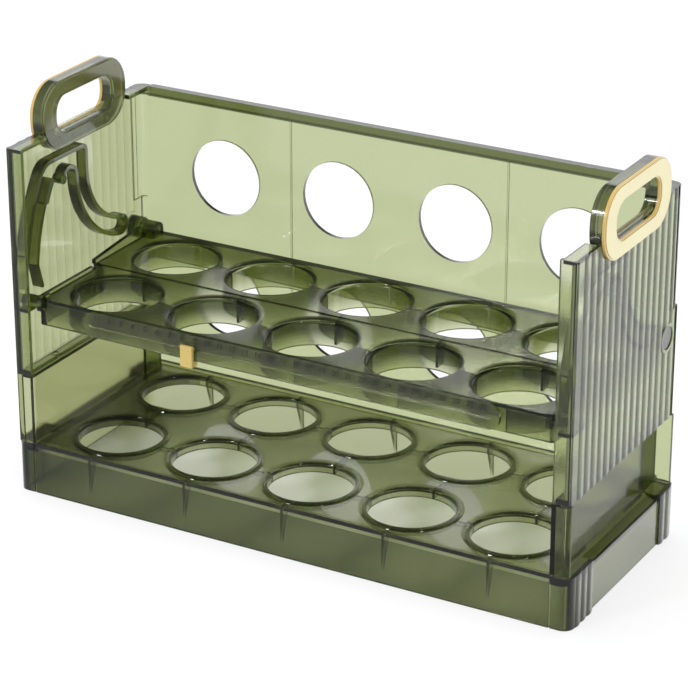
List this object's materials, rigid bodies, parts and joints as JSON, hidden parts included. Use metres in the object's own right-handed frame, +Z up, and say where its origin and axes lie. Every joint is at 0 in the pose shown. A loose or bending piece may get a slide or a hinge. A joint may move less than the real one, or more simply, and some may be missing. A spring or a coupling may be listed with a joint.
{
  "type": "egg keeper with flip tray",
  "caption": "Two-tier egg keeper of clear olive plastic, with a lifting upper tray, fluted end panels, loop handles and a date slider.",
  "frame": {"origin": "middle of the overall box, at the level of the table", "axes": "+X along the egg rows to the right as seen from the front, +Y to the back, +Z up"},
  "size_m": [0.2806, 0.108, 0.1873],
  "materials": {
    "olive_wall": "clear moulded, glossy",
    "olive_tray": "clear moulded, glossy",
    "olive_pin": "clear moulded, glossy",
    "olive_handle": "clear moulded, glossy",
    "cream_ring": "moulded, satin gloss",
    "tan_slider": "moulded, satin gloss"
  },
  "bodies": {
    "frame": {"base_tray": "olive_tray", "lower_side_left": "olive_wall", "lower_side_right": "olive_wall", "lower_back": "olive_wall", "upper_side_left": "olive_wall", "upper_side_right": "olive_wall", "upper_back": "olive_wall", "handle_loop_left": "olive_handle", "handle_loop_right": "olive_handle", "handle_ring_left": "cream_ring", "handle_ring_right": "cream_ring"},
    "tray": {"flip_tray": "olive_tray", "hinge_pin_left": "olive_pin", "hinge_pin_right": "olive_pin", "date_rail": "olive_tray"},
    "slider": {"date_slider": "tan_slider"}
  },
  "joints": [
    {"name": "tray_flip", "type": "hinge", "parent": "frame", "child": "tray", "pos_m": [0, 0.041, 0.0982], "axis": [-1, 0, 0], "range_deg": [0, 37]},
    {"name": "date_slide", "type": "slide", "parent": "tray", "child": "slider", "axis": [1, 0, 0], "range_m": [-0.048, 0.144]}
  ]
}
